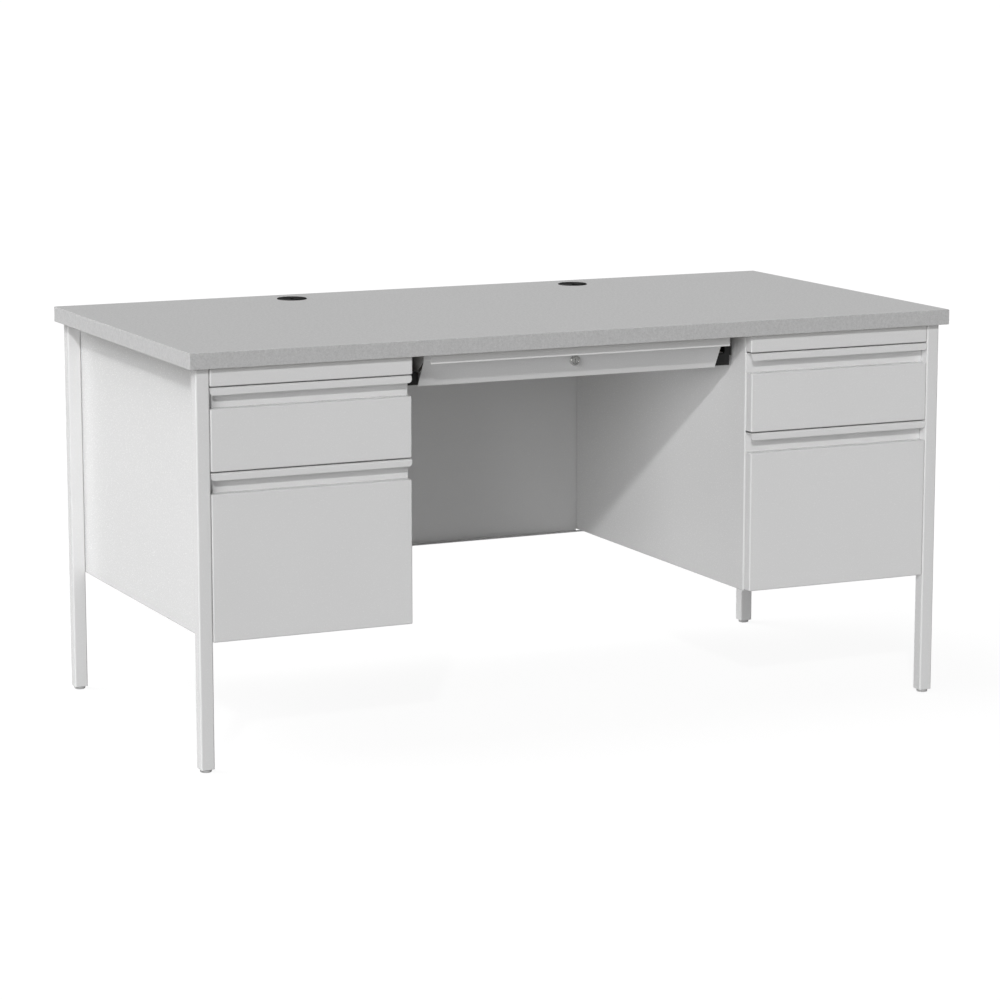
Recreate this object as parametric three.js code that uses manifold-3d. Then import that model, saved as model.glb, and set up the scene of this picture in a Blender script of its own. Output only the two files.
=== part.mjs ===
// Double pedestal teacher desk: laminate worktop on four square tube legs, two sheet steel pedestals
// with a box drawer over a file drawer, a centre drawer with a lock, and a modesty panel between them.
// Millimetres, +Z up. The origin is on the floor at the centre of the desk, +X runs along the width
// and the drawers open towards -Y. One side is built for +X and the other is its mirror image.

import * as THREE from 'three';
import { mergeVertices } from 'three/addons/utils/BufferGeometryUtils.js';
import Module from 'manifold-3d';

const wasm = await Module();
wasm.setup();

// Driving dimensions.
const TOP_WIDTH = 1524;
const TOP_DEPTH = 762;
const TOP_THICK = 28.6;
const TOP_Z = 744.5;
const GAP = 0.3;
const SHEET = 1.2;

// Legs: square tubes set in from the ends and edges of the worktop, with a glide in each lower end.
const LEG_SIZE = 25.4;
const LEG_WALL = 1.6;
const LEG_RADIUS = 3;
const LEG_END_INSET = 14;
const LEG_EDGE_INSET = 13;
const LEG_FLOOR = 6;
const LEG_PLATE = 3;
const GLIDE_R = 10.5;
const STEM_R = 4;
const STEM_LENGTH = 22;

// Pedestals.
const PEDESTAL_INNER = 341.5;
const PEDESTAL_FLOOR = 230;
const PEDESTAL_BACK = 364;
const PANEL_RETURN = 14;
const FRONT_OUTER = 721.8;
const FRONT_INNER = 343.3;
const PAN_DEPTH = 21.2;
const FILLER_BOTTOM = 683;

// Modesty panel.
const MODESTY_FLANGE = 14;
const MODESTY_EAR = 15;
const MODESTY_FLOOR = 226;

// Drawer fronts: a hanging lip over a finger recess over the face.
const LIP_HEIGHT = 13;
const PULL_HEIGHT = 36.8;
const BOX_FRONT = { top: 681, bottom: 533.9 };
const FILE_FRONT = { top: 531.7, bottom: 232.5 };

// Drawer boxes and their telescopic slides.
const BOX_WALL = 1.2;
const BOX_LENGTH = 600;
const SLIDE_SPACE = 13.5;
const SLIDE_LENGTH = 550;
const BOX_DRAWER = { floor: 541, rim: 648 };
const FILE_DRAWER = { floor: 240, rim: 494 };
const BOX_SLIDE_Z = 585;
const FILE_SLIDE_Z = 330;

// Centre drawer.
const TRAY_HALF = 302;
const TRAY_LIP_Y = -358;
const TRAY_LIP_BOTTOM = 697.3;
const TRAY_TOP = 714.3;
const TRAY_BOTTOM = 650;
const FACE_TOP_Y = -327;
const FACE_TOP_Z = 700;
const FACE_BOTTOM_Y = -299;
const FRONT_FLANGE = 3.5;
const TRAY_LENGTH = 400;
const RUNNER_EDGE = 320.5;
const RUNNER_TOP = 677.5;
const CHEEK_BACK = -265;
const RAIL_SHELF = 656.5;
const RAIL_WEB = 334.5;
const RAIL_FRONT = FACE_BOTTOM_Y + 3;
const RAIL_BACK = 230;
const BLOCK_NOSE = 6;
const BLOCK_BACK = RAIL_FRONT + 38;

// Lock, on the centre line of the centre drawer.
const LOCK_Z = 683;
const LOCK_FACE = -326;
const LOCK_BEZEL_R = 9.75;
const LOCK_BARREL_R = 8;
const LOCK_PLUG_R = 5.5;
const LOCK_BACK = -302;

// Grommets.
const GROMMET_X = 304;
const GROMMET_Y = 307;
const GROMMET_HOLE_R = 25;
const GROMMET_FLANGE_R = 29;
const GROMMET_RISE = 1.8;
const NOTCH_HALF = 8;
const NOTCH_END = 12;

const UNDERSIDE = TOP_Z - TOP_THICK;
const ROOF = UNDERSIDE - GAP;
const LEG_OUTER = TOP_WIDTH / 2 - LEG_END_INSET;
const LEG_INNER = LEG_OUTER - LEG_SIZE;
const FACE_Y = -(TOP_DEPTH / 2 - LEG_EDGE_INSET);
const PAN_BACK = FACE_Y + PAN_DEPTH;
const PANEL_FRONT = PAN_BACK + GAP;
const PEDESTAL_OUTER = LEG_INNER - GAP;
const INNER_WALL = PEDESTAL_INNER + SHEET;
const OUTER_WALL = PEDESTAL_OUTER - SHEET;
const PEDESTAL_MIDDLE = (INNER_WALL + OUTER_WALL) / 2;
const BOX_HALF = (OUTER_WALL - INNER_WALL) / 2 - SLIDE_SPACE;
const SIDES = [['left', -1], ['right', 1]];

function finish(color, roughness, metalness) {
  return new THREE.MeshStandardMaterial({ color, roughness, metalness });
}

const LAMINATE = finish(0xc4c4c4, 0.5, 0);
const PAINT = finish(0xe4e4e4, 0.45, 0);
const GLIDE_PLASTIC = finish(0xb8b8b8, 0.5, 0);
const BLACK_NYLON = finish(0x101010, 0.45, 0);
const ZINC = finish(0xb4b8bc, 0.35, 1);
const NICKEL = finish(0xd6d4d0, 0.15, 1);

// Solids and joins.
function solid(geometry) {
  const bare = geometry.clone();
  bare.deleteAttribute('normal');
  bare.deleteAttribute('uv');
  const welded = mergeVertices(bare, 1e-4);
  const vertProperties = new Float32Array(welded.attributes.position.array);
  const triVerts = new Uint32Array(welded.index.array);
  return new wasm.Manifold(new wasm.Mesh({ numProp: 3, vertProperties, triVerts }));
}

function join(first, ...others) {
  return others.reduce((sum, other) => sum.add(other), first);
}

function cut(first, ...others) {
  return others.reduce((rest, other) => rest.subtract(other), first);
}

// side -1 mirrors the piece to the desk's other side, which turns each triangle over.
function meshGeometry(piece, side) {
  const { vertProperties, triVerts } = piece.getMesh();
  const position = Float32Array.from(vertProperties, (value, i) => (i % 3 === 0 ? value * side : value));
  const index = Array.from(triVerts);
  if (side < 0) {
    index.reverse();
  }
  const geometry = new THREE.BufferGeometry();
  geometry.setAttribute('position', new THREE.BufferAttribute(position, 3));
  geometry.setIndex(index);
  geometry.computeVertexNormals();
  return geometry;
}

const desk = new THREE.Group();

function part(name, material, piece, side = 1) {
  const mesh = new THREE.Mesh(meshGeometry(piece, side), material);
  mesh.name = name;
  desk.add(mesh);
}

// Shapes.
function block(x0, x1, y0, y1, z0, z1) {
  const geometry = new THREE.BoxGeometry(x1 - x0, y1 - y0, z1 - z0);
  geometry.translate((x0 + x1) / 2, (y0 + y1) / 2, (z0 + z1) / 2);
  return solid(geometry);
}

function outline(points) {
  return new THREE.Shape(points.map(([a, b]) => new THREE.Vector2(a, b)));
}

function extruded(shape, depth) {
  return new THREE.ExtrudeGeometry(shape, { depth, bevelEnabled: false, curveSegments: 4 });
}

// An outline in Y and Z, drawn out along X.
function alongX(points, x0, x1) {
  const geometry = extruded(outline(points), x1 - x0);
  geometry.applyMatrix4(new THREE.Matrix4().set(0, 0, 1, x0, 1, 0, 0, 0, 0, 1, 0, 0, 0, 0, 0, 1));
  return solid(geometry);
}

// An outline in Z and X, drawn out along Y.
function alongY(points, y0, y1) {
  const geometry = extruded(outline(points), y1 - y0);
  geometry.applyMatrix4(new THREE.Matrix4().set(0, 1, 0, 0, 0, 0, 1, y0, 1, 0, 0, 0, 0, 0, 0, 1));
  return solid(geometry);
}

// A sheet of even thickness bent along a line. The thickness lies to the left of the line's direction.
function bent(line, thick = SHEET) {
  const points = line.map(([a, b]) => new THREE.Vector2(a, b));
  const last = points.length - 1;
  const normals = points.slice(1).map((point, i) => {
    const along = point.clone().sub(points[i]).normalize();
    return new THREE.Vector2(-along.y, along.x);
  });
  const inner = points.map((point, i) => {
    const before = normals[Math.max(i - 1, 0)];
    const after = normals[Math.min(i, last - 1)];
    const mitre = before.clone().add(after);
    return point.clone().addScaledVector(mitre, (2 * thick) / mitre.lengthSq());
  });
  return [...points, ...inner.reverse()].map((point) => [point.x, point.y]);
}

// A lathe profile of [radius, height] points, turned about an upright axis.
function turned(profile, segments = 32) {
  const points = profile.map(([radius, height]) => new THREE.Vector2(radius, height));
  const geometry = new THREE.LatheGeometry(points, segments);
  geometry.rotateX(Math.PI / 2);
  return solid(geometry);
}

// A profile turned about the Y axis through the lock; height along the profile becomes Y.
function turnedOnLock(profile, segments = 32) {
  const points = profile.map(([radius, height]) => new THREE.Vector2(radius, height));
  const geometry = new THREE.LatheGeometry(points, segments);
  geometry.translate(0, 0, LOCK_Z);
  return solid(geometry);
}

function roundSquare(size, radius) {
  const half = size / 2;
  const shape = new THREE.Shape();
  shape.absarc(half - radius, half - radius, radius, 0, Math.PI / 2);
  shape.absarc(radius - half, half - radius, radius, Math.PI / 2, Math.PI);
  shape.absarc(radius - half, radius - half, radius, Math.PI, 1.5 * Math.PI);
  shape.absarc(half - radius, radius - half, radius, 1.5 * Math.PI, 2 * Math.PI);
  return shape;
}

// Worktop, with a round hole for each grommet.
function worktop() {
  const board = block(-TOP_WIDTH / 2, TOP_WIDTH / 2, -TOP_DEPTH / 2, TOP_DEPTH / 2, UNDERSIDE, TOP_Z);
  const holes = SIDES.map(([, side]) => {
    const drill = turned([[0, UNDERSIDE - 1], [GROMMET_HOLE_R, UNDERSIDE - 1], [GROMMET_HOLE_R, TOP_Z + 1],
      [0, TOP_Z + 1]]);
    return drill.translate([side * GROMMET_X, GROMMET_Y, 0]);
  });
  return cut(board, ...holes);
}

// Legs. A plate across the lower end takes the stem of the glide.
function leg(x, y) {
  const length = ROOF - LEG_FLOOR;
  const tube = extruded(roundSquare(LEG_SIZE, LEG_RADIUS), length);
  const bore = extruded(roundSquare(LEG_SIZE - 2 * LEG_WALL, LEG_RADIUS - LEG_WALL), length - LEG_PLATE + 1);
  bore.translate(0, 0, LEG_PLATE);
  const hole = STEM_R + GAP;
  const stemHole = turned([[0, -1], [hole, -1], [hole, LEG_PLATE + 1], [0, LEG_PLATE + 1]], 16);
  return cut(solid(tube), solid(bore), stemHole).translate([x, y, LEG_FLOOR]);
}

function glide(x, y) {
  const top = LEG_FLOOR - GAP;
  const foot = turned([[0, 0], [GLIDE_R - 1.5, 0], [GLIDE_R, 1.5], [GLIDE_R, top], [STEM_R, top],
    [STEM_R, top + STEM_LENGTH], [0, top + STEM_LENGTH]], 24);
  return foot.translate([x, y, 0]);
}

// A pedestal side panel: a web with its top, bottom and back edges returned towards the drawers.
function sidePanel(outside, inward) {
  const edge = outside + inward * (SHEET + PANEL_RETURN);
  const backY = PEDESTAL_BACK - SHEET - GAP;
  const span = (a, b) => [Math.min(a, b), Math.max(a, b)];
  const shell = block(...span(outside, edge), PANEL_FRONT, backY, PEDESTAL_FLOOR, ROOF);
  const inside = block(...span(outside + inward * SHEET, edge + inward), PANEL_FRONT - 1, backY - SHEET,
    PEDESTAL_FLOOR + SHEET, ROOF - SHEET);
  return cut(shell, inside);
}

function backPanel() {
  const hem = PEDESTAL_BACK - 2 * SHEET - GAP;
  const front = PEDESTAL_BACK - SHEET;
  const plate = block(PEDESTAL_INNER, PEDESTAL_OUTER, front, PEDESTAL_BACK, PEDESTAL_FLOOR, ROOF);
  const stiffener = (z) => block(INNER_WALL + PANEL_RETURN + 1, OUTER_WALL - PANEL_RETURN - 1,
    hem - 8, front, z, z + SHEET);
  return join(plate, stiffener(PEDESTAL_FLOOR + SHEET), stiffener(ROOF - 2 * SHEET));
}

// A pan of sheet with its face on FACE_Y, its edges turned back, and no back.
function frontPan(x0, x1, z0, z1) {
  const shell = block(x0, x1, FACE_Y, PAN_BACK, z0, z1);
  return cut(shell, block(x0 + SHEET, x1 - SHEET, FACE_Y + SHEET, PAN_BACK + 1, z0 + SHEET, z1 - SHEET));
}

// A drawer front: face pan, wall at the back of the finger recess, top plate and hanging lip.
function drawerFront({ top, bottom }) {
  const ledge = top - PULL_HEIGHT;
  const pull = bent([[PAN_BACK, ledge - SHEET], [PAN_BACK, top], [FACE_Y, top], [FACE_Y, top - LIP_HEIGHT]]);
  return join(frontPan(FRONT_INNER, FRONT_OUTER, bottom, ledge), alongX(pull, FRONT_INNER, FRONT_OUTER));
}

function drawerBox({ floor, rim }) {
  const y0 = PANEL_FRONT;
  const y1 = y0 + BOX_LENGTH;
  const x0 = PEDESTAL_MIDDLE - BOX_HALF;
  const x1 = PEDESTAL_MIDDLE + BOX_HALF;
  const inside = block(x0 + BOX_WALL, x1 - BOX_WALL, y0 + BOX_WALL, y1 - BOX_WALL, floor + BOX_WALL, rim + 1);
  return cut(block(x0, x1, y0, y1, floor, rim), inside);
}

// Slide members are channels in Z and X. wall is the plane a member lies against, and inward is the
// direction of its flanges.
function slideMember(wall, inward, half, reach, z) {
  const low = [z - half, wall];
  const high = [z + half, wall];
  const section = [[low[0], wall + inward * reach], low, high, [high[0], wall + inward * reach]];
  const front = PANEL_FRONT + 2;
  return alongY(bent(inward > 0 ? section : section.reverse()), front, front + SLIDE_LENGTH);
}

const SLIDE_WALLS = [['inner', INNER_WALL, 1], ['outer', OUTER_WALL, -1]];

function addSlides(label, side, z, members) {
  for (const [edge, wall, inward] of SLIDE_WALLS) {
    for (const [member, offset, turn, half, reach] of members) {
      const piece = slideMember(wall + inward * offset, inward * turn, half, reach, z);
      part(`${label}_slide_${edge}_${member}_member`, ZINC, piece, side);
    }
  }
}

const BOX_SLIDE_MEMBERS = [
  ['cabinet', GAP, 1, 17.5, 11],
  ['drawer', SLIDE_SPACE - GAP, -1, 13, 8],
];
const FILE_SLIDE_MEMBERS = [
  ['cabinet', GAP, 1, 22.5, 11],
  ['middle', GAP + 2.4, 1, 18.5, 8],
  ['drawer', SLIDE_SPACE - GAP, -1, 14, 7],
];

// Modesty panel: a web in line with the back panels, with its top and bottom edges returned towards the
// knee space. The bottom return runs on past both ends as an ear under each pedestal.
function modestyPanel() {
  const half = PEDESTAL_INNER - GAP;
  const reach = half + MODESTY_EAR;
  const back = PEDESTAL_BACK;
  const lip = back - MODESTY_FLANGE;
  const channel = bent([[lip, MODESTY_FLOOR], [back, MODESTY_FLOOR], [back, ROOF], [lip, ROOF]]);
  const ears = block(-reach, reach, lip, back, MODESTY_FLOOR, MODESTY_FLOOR + SHEET);
  return join(alongX(channel, -half, half), ears);
}

function lockBore() {
  const radius = LOCK_BARREL_R + GAP;
  const front = LOCK_FACE - 10;
  const back = LOCK_BACK + 10;
  return turnedOnLock([[0, front], [radius, front], [radius, back], [0, back]]);
}

// Centre drawer front: hanging lip, top plate, upright wall, sloping face and a flange under the tray,
// with a cheek at each end that runs back over the runner.
function trayFront() {
  const wall = FACE_TOP_Y + SHEET;
  const foot = FACE_BOTTOM_Y + SHEET;
  const skin = [
    [foot + FRONT_FLANGE, TRAY_BOTTOM + SHEET],
    [foot, TRAY_BOTTOM + SHEET],
    [wall, FACE_TOP_Z],
    [wall, TRAY_TOP],
    [TRAY_LIP_Y, TRAY_TOP],
    [TRAY_LIP_Y, TRAY_LIP_BOTTOM],
  ];
  const cheek = [
    [wall - SHEET / 2, TRAY_TOP - SHEET / 2],
    [wall - SHEET / 2, FACE_TOP_Z],
    [foot - SHEET / 2, TRAY_BOTTOM + SHEET / 2],
    [foot + 1, TRAY_BOTTOM + SHEET / 2],
    [foot + 1, RUNNER_TOP + 2 * GAP],
    [CHEEK_BACK, RUNNER_TOP + 2 * GAP],
    [CHEEK_BACK, TRAY_TOP - SHEET / 2],
  ];
  return cut(
    join(
      alongX(bent(skin), -TRAY_HALF, TRAY_HALF),
      alongX(cheek, -TRAY_HALF, SHEET - TRAY_HALF),
      alongX(cheek, TRAY_HALF - SHEET, TRAY_HALF),
    ),
    lockBore(),
  );
}

// Tray: an open pan with runner flanges turned out along its sides and a heel tab at the back of each.
function tray() {
  const half = TRAY_HALF - SHEET - GAP;
  const y0 = FACE_BOTTOM_Y + 3;
  const y1 = y0 + TRAY_LENGTH;
  const floor = TRAY_BOTTOM + SHEET + GAP;
  const pan = cut(
    block(-half, half, y0, y1, floor, RUNNER_TOP),
    block(SHEET - half, half - SHEET, y0 + SHEET, y1 - SHEET, floor + SHEET, RUNNER_TOP + 1),
  );
  const runners = SIDES.map(([, side]) => {
    const [low, high] = side > 0 ? [half - GAP, RUNNER_EDGE] : [-RUNNER_EDGE, GAP - half];
    const heel = side > 0 ? high : low + SHEET;
    return join(
      block(low, high, y0, y1, RUNNER_TOP - SHEET, RUNNER_TOP),
      block(heel - SHEET, heel, y1 - 35, y1, RAIL_SHELF + GAP, RUNNER_TOP),
    );
  });
  return join(pan, ...runners);
}

// Rail: shelf under the runner, web, hold-down lip over the runner, and a hanger up to the worktop.
function trayRail() {
  const hanger = bent([
    [RAIL_SHELF, TRAY_HALF + 2],
    [RAIL_SHELF, RAIL_WEB],
    [ROOF, RAIL_WEB],
    [ROOF, PEDESTAL_INNER - GAP],
  ]);
  const z = RUNNER_TOP + 1.5;
  const lip = block(RUNNER_EDGE - 8, RAIL_WEB + SHEET / 2, BLOCK_BACK + 2, RAIL_BACK - 10, z, z + SHEET);
  return join(alongY(hanger, RAIL_FRONT, RAIL_BACK), lip);
}

// Glide block: a low block that carries the runner, a higher one beside the runner's edge, and a plate
// that covers the front end of the rail.
function glideBlock() {
  const low = { from: TRAY_HALF + 0.8, to: 325, top: RUNNER_TOP - SHEET - GAP };
  const high = { from: RUNNER_EDGE + 0.8, to: RAIL_WEB - GAP, top: 694 };
  const plate = { from: TRAY_HALF + 1, to: 331.5, bottom: 653.5, top: 672.3 };
  const front = RAIL_FRONT - BLOCK_NOSE;
  return join(
    block(low.from, low.to, front, BLOCK_BACK, RAIL_SHELF + GAP, low.top),
    block(high.from, high.to, front, BLOCK_BACK, low.top - 4, high.top),
    block(plate.from, plate.to, front, RAIL_FRONT - GAP, plate.bottom, plate.top),
  );
}

// Lock.
function lockBody() {
  return turnedOnLock([
    [LOCK_PLUG_R + GAP, LOCK_FACE],
    [LOCK_BEZEL_R - 1, LOCK_FACE],
    [LOCK_BEZEL_R, LOCK_FACE + 1],
    [LOCK_BEZEL_R, LOCK_FACE + 2.2],
    [LOCK_BARREL_R, LOCK_FACE + 2.2],
    [LOCK_BARREL_R, LOCK_BACK],
    [LOCK_PLUG_R + GAP, LOCK_BACK],
    [LOCK_PLUG_R + GAP, LOCK_FACE],
  ]);
}

function lockPlug() {
  const face = LOCK_FACE + 0.8;
  const shoulder = LOCK_BACK + 0.6;
  const end = LOCK_BACK + 5;
  const plug = turnedOnLock([
    [0, face],
    [LOCK_PLUG_R, face],
    [LOCK_PLUG_R, shoulder],
    [2.5, shoulder],
    [2.5, end],
    [0, end],
  ], 24);
  return cut(plug, block(-0.8, 0.8, LOCK_FACE - 1, LOCK_FACE + 5, LOCK_Z - 4, LOCK_Z + 4));
}

// The cam lies level when the drawer is unlocked and points up behind the strike when it is locked.
function lockCam() {
  const y0 = LOCK_BACK + 1;
  const plate = block(-6, 24, y0, y0 + 2, LOCK_Z - 6, LOCK_Z + 6);
  const bore = turnedOnLock([[0, y0 - 1], [2.8, y0 - 1], [2.8, y0 + 3], [0, y0 + 3]], 16);
  return cut(plate, bore);
}

function lockStrike() {
  const y = LOCK_BACK - 4;
  return alongX(bent([[y + 16, ROOF], [y, ROOF], [y, 698]]), -15, 15);
}

// Grommet ring and the turning cap with its cord notch.
function grommetRing() {
  const r = GROMMET_HOLE_R - GAP;
  const ring = turned([
    [r - 2.2, UNDERSIDE + 2],
    [r, UNDERSIDE + 2],
    [r, TOP_Z + GAP],
    [GROMMET_FLANGE_R, TOP_Z + GAP],
    [GROMMET_FLANGE_R, TOP_Z + 1],
    [GROMMET_FLANGE_R - 1, TOP_Z + GROMMET_RISE],
    [r - 1, TOP_Z + GROMMET_RISE],
    [r - 1, TOP_Z - 2],
    [r - 2.2, TOP_Z - 2],
    [r - 2.2, UNDERSIDE + 2],
  ]);
  return ring.translate([GROMMET_X, GROMMET_Y, 0]);
}

function grommetCap() {
  const r = GROMMET_HOLE_R - 1.6;
  const z0 = TOP_Z - 2 + GAP;
  const z1 = TOP_Z + GROMMET_RISE - 0.2;
  const disc = turned([[0, z0], [r - 0.4, z0], [r - 0.4, z1 - 0.6], [r - 1, z1], [0, z1]]);
  const end = turned([[0, z0 - 1], [NOTCH_HALF, z0 - 1], [NOTCH_HALF, z1 + 1], [0, z1 + 1]], 24);
  const notch = join(
    end.translate([0, -NOTCH_END, 0]),
    block(-NOTCH_HALF, NOTCH_HALF, -GROMMET_HOLE_R, -NOTCH_END, z0 - 1, z1 + 1),
  );
  return cut(disc, notch).translate([GROMMET_X, GROMMET_Y, 0]);
}

// Assembly.
part('worktop', LAMINATE, worktop());

for (const [end, y] of [['front', FACE_Y + LEG_SIZE / 2], ['back', -FACE_Y - LEG_SIZE / 2]]) {
  for (const [label, side] of SIDES) {
    const x = LEG_OUTER - LEG_SIZE / 2;
    part(`leg_${end}_${label}`, PAINT, leg(x, y), side);
    part(`foot_glide_${end}_${label}`, GLIDE_PLASTIC, glide(x, y), side);
  }
}

for (const [label, side] of SIDES) {
  part(`${label}_outer_side_panel`, PAINT, sidePanel(PEDESTAL_OUTER, -1), side);
  part(`${label}_inner_side_panel`, PAINT, sidePanel(PEDESTAL_INNER, 1), side);
  part(`${label}_back_panel`, PAINT, backPanel(), side);
  part(`${label}_filler_rail`, PAINT, frontPan(PEDESTAL_INNER, FRONT_OUTER, FILLER_BOTTOM, ROOF), side);
  part(`${label}_box_drawer_front`, PAINT, drawerFront(BOX_FRONT), side);
  part(`${label}_box_drawer_box`, PAINT, drawerBox(BOX_DRAWER), side);
  addSlides(`${label}_box`, side, BOX_SLIDE_Z, BOX_SLIDE_MEMBERS);
  part(`${label}_file_drawer_front`, PAINT, drawerFront(FILE_FRONT), side);
  part(`${label}_file_drawer_box`, PAINT, drawerBox(FILE_DRAWER), side);
  addSlides(`${label}_file`, side, FILE_SLIDE_Z, FILE_SLIDE_MEMBERS);
  part(`centre_rail_${label}`, PAINT, trayRail(), side);
  part(`centre_glide_block_${label}`, BLACK_NYLON, glideBlock(), side);
  part(`grommet_ring_${label}`, BLACK_NYLON, grommetRing(), side);
  part(`grommet_cap_${label}`, BLACK_NYLON, grommetCap(), side);
}

part('modesty_panel', PAINT, modestyPanel());
part('centre_drawer_front', PAINT, trayFront());
part('centre_drawer_tray', PAINT, tray());
part('lock_body', NICKEL, lockBody());
part('lock_plug', NICKEL, lockPlug());
part('lock_cam', ZINC, lockCam());
part('lock_strike', ZINC, lockStrike());

export default desk;
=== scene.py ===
import math

import bmesh
import bpy
from bpy.props import FloatProperty, FloatVectorProperty, PointerProperty
from mathutils import Euler, Matrix, Vector


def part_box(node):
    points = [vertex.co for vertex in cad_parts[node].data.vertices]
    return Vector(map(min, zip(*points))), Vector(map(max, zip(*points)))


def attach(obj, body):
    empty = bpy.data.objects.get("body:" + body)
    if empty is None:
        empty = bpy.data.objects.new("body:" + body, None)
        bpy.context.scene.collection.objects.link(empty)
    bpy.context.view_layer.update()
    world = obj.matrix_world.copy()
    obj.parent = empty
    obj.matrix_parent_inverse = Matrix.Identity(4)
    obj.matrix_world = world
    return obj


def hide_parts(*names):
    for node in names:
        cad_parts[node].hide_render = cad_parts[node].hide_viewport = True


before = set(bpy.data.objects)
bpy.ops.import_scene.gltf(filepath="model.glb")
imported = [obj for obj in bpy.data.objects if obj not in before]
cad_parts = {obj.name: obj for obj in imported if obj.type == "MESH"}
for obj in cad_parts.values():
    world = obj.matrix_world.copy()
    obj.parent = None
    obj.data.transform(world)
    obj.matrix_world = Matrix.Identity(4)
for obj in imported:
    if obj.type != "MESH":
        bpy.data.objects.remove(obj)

bl_info = {
    "name": "Teacher desk",
    "version": (1, 0, 0),
    "blender": (4, 5, 0),
    "location": "3D View > Sidebar > Teacher desk",
    "description": "Builds the pieces of a pedestal teacher desk round its fixed frame",
    "category": "Add Mesh",
}

MM = 0.001
SIDES = (("left", -1), ("right", 1))
X, Y, Z = Vector((1, 0, 0)), Vector((0, 1, 0)), Vector((0, 0, 1))
WHITE = (1, 1, 1, 1)
SKIN = 0.02 * MM  # keeps a loose part's faces off the sheet that it touches


def near(a, b):
    """Whether two places along an axis are one and the same."""
    return abs(a - b) < 1e-5


def linear(hex_colour):
    """An sRGB hex colour as linear red, green and blue."""
    parts = [int(hex_colour[i:i + 2], 16) / 255 for i in (1, 3, 5)]
    return [c / 12.92 if c <= 0.04045 else ((c + 0.055) / 1.055) ** 2.4 for c in parts]


# ---------------------------------------------------------------- settings

def length(name, description, size):
    """A setting that holds a size in metres."""
    return FloatProperty(name=name, description=description, default=size, unit="LENGTH")


def tone(name, description, hex_colour):
    """A setting that holds a colour."""
    return FloatVectorProperty(name=name, description=description, default=linear(hex_colour),
                               subtype="COLOR")


def power(name, description, value):
    """A setting that holds a light's strength."""
    return FloatProperty(name=name, description=description, default=value, min=0)


class DeskSheetMetal(bpy.types.PropertyGroup):
    """Sizes of the folded steel parts."""
    thickness: length("Sheet thickness", "Thickness of the folded steel", 1.2 * MM)
    bend: length("Bend radius", "Outside radius of the folds in panels and fronts", 2.6 * MM)
    tight_bend: length("Tight bend radius", "Outside radius of folds in slides and rails", 1.9 * MM)
    box_corner: length("Drawer box corner", "Outside radius of the corners of a drawer box", 3.5 * MM)
    cut_edge: length("Cut edge rounding", "Rounding that the coating gives a cut edge", 0.3 * MM)
    pull_height: length("Pull height", "From the top of a drawer front to its ledge", 36.8 * MM)
    lip_height: length("Lip height", "Height of the lip that hangs over a finger recess", 13 * MM)
    lip_corner: length("Lip corner", "Rounding of the lip's lower corners", 6 * MM)
    rim: length("Rim width", "Width of the folded rim of a drawer box", 3 * MM)
    rim_drop: length("Rim drop", "How far the folded rim turns down inside a drawer box", 9 * MM)
    leg_wall: length("Leg wall", "Wall thickness of the square leg tube", 1.6 * MM)
    leg_corner: length("Leg corner radius", "Outside corner radius of the leg tube", 3 * MM)


class DeskTop(bpy.types.PropertyGroup):
    """Sizes of the worktop and its fittings."""
    edge: length("Edge rounding", "Rounding of the laminate's trimmed edges", 0.7 * MM)
    fleck: length("Fleck size", "Size of the flecks in the laminate", 5 * MM)


class DeskColours(bpy.types.PropertyGroup):
    """Colours of the finishes."""
    paint: tone("Powder coat", "Light grey powder coat on the steel", "#E9E9E9")
    laminate: tone("Laminate", "Ground colour of the grey laminate", "#D2D2D2")
    fleck: tone("Laminate fleck", "Colour of the darker flecks in the laminate", "#B7B7B7")
    backer: tone("Backer sheet", "Colour of the sheet under the worktop", "#6E6558")
    nylon: tone("Black nylon", "Colour of the black moulded parts", "#090909")
    glide: tone("Foot glide", "Colour of the moulded foot glides", "#C2C2C2")
    zinc: tone("Zinc plate", "Colour of the zinc plated steel", "#C6CACF")
    nickel: tone("Nickel plate", "Colour of the nickel plated lock", "#DEDEDC")
    steel: tone("Bearing steel", "Colour of the polished steel balls", "#CFCFCF")


class DeskStudio(bpy.types.PropertyGroup):
    """Camera and lights."""
    camera_place: FloatVectorProperty(name="Camera place", description="Where the camera stands",
                                      default=(-2.71355, -5.82986, 1.50525), subtype="TRANSLATION",
                                      unit="LENGTH")
    heading: FloatProperty(name="Heading", description="How far the camera turns from +Y towards +X",
                           default=0.4356, subtype="ANGLE")
    tilt: FloatProperty(name="Tilt", description="How far the camera looks down",
                        default=0.1742, subtype="ANGLE")
    lens: FloatProperty(name="Lens", description="Focal length on a 36 mm wide sensor, in millimetres",
                        default=122.37, min=1)
    key: power("Key light", "Strength of the small key light, front left and above", 1.2)
    front: power("Front soft box", "Strength of the low soft box at the front left", 1.7)
    rear: power("Rear soft box", "Strength of the high soft box at the rear left", 2.3)
    top: power("Overhead soft box", "Strength of the soft box overhead", 0.45)
    floor: power("Floor light", "Light that the pale floor throws up on the desk", 0.35)
    sheen: power("Studio walls", "Brightness of the walls in the desk's gloss", 0.07)


# ---------------------------------------------------------------- materials

def add_node(tree, kind, inputs=None, **settings):
    """Adds a node. An input is a socket to link from or a value to set."""
    node = tree.nodes.new(kind)
    for name, value in settings.items():
        setattr(node, name, value)
    for name, value in (inputs or {}).items():
        if isinstance(value, bpy.types.NodeSocket):
            tree.links.new(value, node.inputs[name])
        else:
            node.inputs[name].default_value = value
    return node


def surface(name):
    """A new material, its node tree and its Object coordinates."""
    material = bpy.data.materials.new(name)
    material.use_nodes = True
    tree = material.node_tree
    tree.nodes.clear()
    return material, tree, add_node(tree, "ShaderNodeTexCoord").outputs["Object"]


def colour(rgb):
    return (*rgb, 1.0)


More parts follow.
